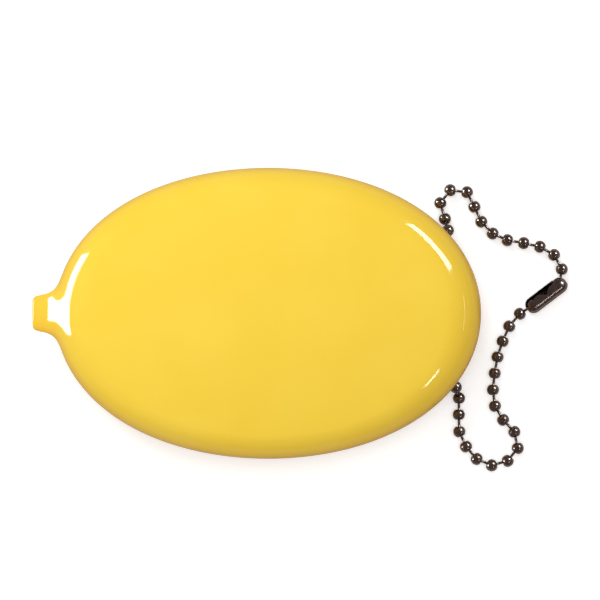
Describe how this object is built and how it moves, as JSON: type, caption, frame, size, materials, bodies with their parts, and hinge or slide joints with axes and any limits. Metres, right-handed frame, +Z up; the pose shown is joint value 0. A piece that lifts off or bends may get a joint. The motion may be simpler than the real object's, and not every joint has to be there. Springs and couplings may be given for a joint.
{
  "type": "squeeze coin purse",
  "caption": "Oval squeeze coin purse: a hollow one-piece vinyl skin whose back slit gapes when its ends are pressed, with a ball chain looped through two holes under its rim.",
  "frame": {"origin": "on the table under the middle of the oval, in the plane of the flat back that it rests on, at the middle of the slit", "axes": "+X runs along the oval from the moulding stub to the chain end, +Y across it toward the upper chain hole, +Z up out of the domed front"},
  "size_m": [0.1057, 0.0599, 0.018],
  "materials": {
    "vinyl": "glossy dip-moulded soft vinyl, yellow right through",
    "chain_metal": "steel with a polished black nickel plate"
  },
  "bodies": {
    "purse": {"purse_skin": "vinyl", "inner_bead_01": "chain_metal", "inner_bead_02": "chain_metal", "inner_bead_03": "chain_metal", "inner_bead_04": "chain_metal", "inner_bead_05": "chain_metal", "inner_bead_06": "chain_metal", "inner_bead_07": "chain_metal", "inner_bead_08": "chain_metal", "inner_bead_09": "chain_metal", "inner_bead_10": "chain_metal"},
    "upper_lip": {"upper_lip": "vinyl"},
    "lower_lip": {"lower_lip": "vinyl"},
    "upper_bead_01": {"upper_bead_01": "chain_metal"},
    "upper_bead_02": {"upper_bead_02": "chain_metal"},
    "upper_bead_03": {"upper_bead_03": "chain_metal"},
    "upper_bead_04": {"upper_bead_04": "chain_metal"},
    "upper_bead_05": {"upper_bead_05": "chain_metal"},
    "upper_bead_06": {"upper_bead_06": "chain_metal"},
    "upper_bead_07": {"upper_bead_07": "chain_metal"},
    "upper_bead_08": {"upper_bead_08": "chain_metal"},
    "upper_bead_09": {"upper_bead_09": "chain_metal"},
    "upper_bead_10": {"upper_bead_10": "chain_metal"},
    "upper_bead_11": {"upper_bead_11": "chain_metal"},
    "upper_bead_12": {"upper_bead_12": "chain_metal"},
    "upper_bead_13": {"upper_bead_13": "chain_metal"},
    "upper_bead_14": {"upper_bead_14": "chain_metal"},
    "lower_bead_01": {"lower_bead_01": "chain_metal"},
    "lower_bead_02": {"lower_bead_02": "chain_metal"},
    "lower_bead_03": {"lower_bead_03": "chain_metal"},
    "lower_bead_04": {"lower_bead_04": "chain_metal"},
    "lower_bead_05": {"lower_bead_05": "chain_metal"},
    "lower_bead_06": {"lower_bead_06": "chain_metal"},
    "lower_bead_07": {"lower_bead_07": "chain_metal"},
    "lower_bead_08": {"lower_bead_08": "chain_metal"},
    "lower_bead_09": {"lower_bead_09": "chain_metal"},
    "lower_bead_10": {"lower_bead_10": "chain_metal"},
    "lower_bead_11": {"lower_bead_11": "chain_metal"},
    "lower_bead_12": {"lower_bead_12": "chain_metal"},
    "lower_bead_13": {"lower_bead_13": "chain_metal"},
    "lower_bead_14": {"lower_bead_14": "chain_metal"},
    "lower_bead_15": {"lower_bead_15": "chain_metal"},
    "lower_bead_16": {"lower_bead_16": "chain_metal"},
    "lower_bead_17": {"lower_bead_17": "chain_metal"},
    "lower_bead_18": {"lower_bead_18": "chain_metal"},
    "connector": {"connector": "chain_metal", "end_bead": "chain_metal"}
  },
  "joints": [
    {"name": "back_lip_upper", "type": "hinge", "parent": "purse", "child": "upper_lip", "pos_m": [0, 0.0115, 0.0008], "axis": [1, 0, 0], "range_deg": [0, 55], "stiffness_Nm_per_rad": 0.02},
    {"name": "back_lip_lower", "type": "hinge", "parent": "purse", "child": "lower_lip", "pos_m": [0, -0.0115, 0.0008], "axis": [-1, 0, 0], "range_deg": [0, 55], "stiffness_Nm_per_rad": 0.02},
    {"name": "link_upper_01", "type": "hinge", "parent": "purse", "child": "upper_bead_01", "pos_m": [0.03405, 0.0143, 0.00429], "axis": [0.809, -0.5878, 0], "range_deg": [-4, 15]},
    {"name": "link_upper_02", "type": "hinge", "parent": "upper_bead_01", "child": "upper_bead_02", "pos_m": [0.03545, 0.01675, 0.003], "axis": [-0.9744, -0.225, 0], "range_deg": [-15, 15]},
    {"name": "link_upper_03", "type": "hinge", "parent": "upper_bead_02", "child": "upper_bead_03", "pos_m": [0.03484, 0.01924, 0.0012], "axis": [-0.9613, -0.2756, 0], "range_deg": [-15, 15]},
    {"name": "link_upper_04", "type": "hinge", "parent": "upper_bead_03", "child": "upper_bead_04", "pos_m": [0.03444, 0.02227, 0.0012], "axis": [0.7771, -0.6293, 0], "range_deg": [-15, 15]},
    {"name": "link_upper_05", "type": "hinge", "parent": "upper_bead_04", "child": "upper_bead_05", "pos_m": [0.03669, 0.0243, 0.0012], "axis": [0.1219, 0.9925, 0], "range_deg": [-15, 15]},
    {"name": "link_upper_06", "type": "hinge", "parent": "upper_bead_05", "child": "upper_bead_06", "pos_m": [0.03962, 0.02348, 0.0012], "axis": [0.891, 0.454, 0], "range_deg": [-15, 15]},
    {"name": "link_upper_07", "type": "hinge", "parent": "upper_bead_06", "child": "upper_bead_07", "pos_m": [0.04108, 0.02057, 0.0012], "axis": [0.9063, 0.4226, 0], "range_deg": [-15, 15]},
    {"name": "link_upper_08", "type": "hinge", "parent": "upper_bead_07", "child": "upper_bead_08", "pos_m": [0.0426, 0.01773, 0.0012], "axis": [-0.7193, -0.6947, 0], "range_deg": [-15, 15]},
    {"name": "link_upper_09", "type": "hinge", "parent": "upper_bead_08", "child": "upper_bead_09", "pos_m": [0.04498, 0.01557, 0.0012], "axis": [-0.4067, -0.9135, 0], "range_deg": [-15, 15]},
    {"name": "link_upper_10", "type": "hinge", "parent": "upper_bead_09", "child": "upper_bead_10", "pos_m": [0.04798, 0.01437, 0.0012], "axis": [0.1736, 0.9848, 0], "range_deg": [-15, 15]},
    {"name": "link_upper_11", "type": "hinge", "parent": "upper_bead_10", "child": "upper_bead_11", "pos_m": [0.05118, 0.01378, 0.0012], "axis": [0.225, 0.9744, 0], "range_deg": [-15, 15]},
    {"name": "link_upper_12", "type": "hinge", "parent": "upper_bead_11", "child": "upper_bead_12", "pos_m": [0.05429, 0.0129, 0.0012], "axis": [-0.5, -0.866, 0], "range_deg": [-15, 15]},
    {"name": "link_upper_13", "type": "hinge", "parent": "upper_bead_12", "child": "upper_bead_13", "pos_m": [0.05688, 0.01106, 0.0012], "axis": [-0.8829, -0.4695, 0], "range_deg": [-15, 15]},
    {"name": "link_upper_14", "type": "hinge", "parent": "upper_bead_13", "child": "upper_bead_14", "pos_m": [0.05807, 0.00814, 0.00128], "axis": [0.9877, -0.1564, 0], "range_deg": [-15, 15]},
    {"name": "connector_swing", "type": "hinge", "parent": "upper_bead_14", "child": "connector", "pos_m": [0.05765, 0.0055, 0.00165], "axis": [0.6018, -0.7986, 0], "range_deg": [-15, 15]},
    {"name": "link_lower_01", "type": "hinge", "parent": "purse", "child": "lower_bead_01", "pos_m": [0.0353, -0.01283, 0.00429], "axis": [-0.7073, -0.7069, 0], "range_deg": [-15, 15]},
    {"name": "link_lower_02", "type": "hinge", "parent": "lower_bead_01", "child": "lower_bead_02", "pos_m": [0.03721, -0.01502, 0.003], "axis": [0.9564, 0.2921, 0], "range_deg": [-15, 15]},
    {"name": "link_lower_03", "type": "hinge", "parent": "lower_bead_02", "child": "lower_bead_03", "pos_m": [0.03779, -0.0175, 0.0012], "axis": [0.9998, -0.0178, 0], "range_deg": [-15, 15]},
    {"name": "link_lower_04", "type": "hinge", "parent": "lower_bead_03", "child": "lower_bead_04", "pos_m": [0.03776, -0.02075, 0.0012], "axis": [-0.9994, -0.0346, 0], "range_deg": [-15, 15]},
    {"name": "link_lower_05", "type": "hinge", "parent": "lower_bead_04", "child": "lower_bead_05", "pos_m": [0.03808, -0.02395, 0.0012], "axis": [-0.9137, -0.4065, 0], "range_deg": [-15, 15]},
    {"name": "link_lower_06", "type": "hinge", "parent": "lower_bead_05", "child": "lower_bead_06", "pos_m": [0.03954, -0.02683, 0.0012], "axis": [0.7549, 0.6558, 0], "range_deg": [-15, 15]},
    {"name": "link_lower_07", "type": "hinge", "parent": "lower_bead_06", "child": "lower_bead_07", "pos_m": [0.04181, -0.02908, 0.0012], "axis": [0.391, 0.9204, 0], "range_deg": [-15, 15]},
    {"name": "link_lower_08", "type": "hinge", "parent": "lower_bead_07", "child": "lower_bead_08", "pos_m": [0.04483, -0.02999, 0.0012], "axis": [0.2754, -0.9613, 0], "range_deg": [-15, 15]},
    {"name": "link_lower_09", "type": "hinge", "parent": "lower_bead_08", "child": "lower_bead_09", "pos_m": [0.04776, -0.02881, 0.0012], "axis": [-0.7878, 0.6159, 0], "range_deg": [-15, 15]},
    {"name": "link_lower_10", "type": "hinge", "parent": "lower_bead_09", "child": "lower_bead_10", "pos_m": [0.04931, -0.02615, 0.0012], "axis": [-0.9782, -0.2077, 0], "range_deg": [-15, 15]},
    {"name": "link_lower_11", "type": "hinge", "parent": "lower_bead_10", "child": "lower_bead_11", "pos_m": [0.04837, -0.0231, 0.0012], "axis": [0.7315, 0.6818, 0], "range_deg": [-15, 15]},
    {"name": "link_lower_12", "type": "hinge", "parent": "lower_bead_11", "child": "lower_bead_12", "pos_m": [0.04626, -0.02065, 0.0012], "axis": [0.8661, 0.4998, 0], "range_deg": [-15, 15]},
    {"name": "link_lower_13", "type": "hinge", "parent": "lower_bead_12", "child": "lower_bead_13", "pos_m": [0.04484, -0.01777, 0.0012], "axis": [-0.9926, -0.1216, 0], "range_deg": [-15, 15]},
    {"name": "link_lower_14", "type": "hinge", "parent": "lower_bead_13", "child": "lower_bead_14", "pos_m": [0.04457, -0.01454, 0.0012], "axis": [0.9945, -0.1048, 0], "range_deg": [-15, 15]},
    {"name": "link_lower_15", "type": "hinge", "parent": "lower_bead_14", "child": "lower_bead_15", "pos_m": [0.04495, -0.01131, 0.0012], "axis": [-0.9848, 0.1739, 0], "range_deg": [-15, 15]},
    {"name": "link_lower_16", "type": "hinge", "parent": "lower_bead_15", "child": "lower_bead_16", "pos_m": [0.04559, -0.00813, 0.0012], "axis": [0.951, -0.3092, 0], "range_deg": [-15, 15]},
    {"name": "link_lower_17", "type": "hinge", "parent": "lower_bead_16", "child": "lower_bead_17", "pos_m": [0.04665, -0.00506, 0.0012], "axis": [-0.9135, 0.4069, 0], "range_deg": [-15, 15]},
    {"name": "link_lower_18", "type": "hinge", "parent": "lower_bead_17", "child": "lower_bead_18", "pos_m": [0.0481, -0.00217, 0.0012], "axis": [0.7659, -0.6429, 0], "range_deg": [-15, 15]}
  ],
  "couplings": [
    {"joint": "back_lip_lower", "follows": "back_lip_upper", "ratio": 1}
  ]
}
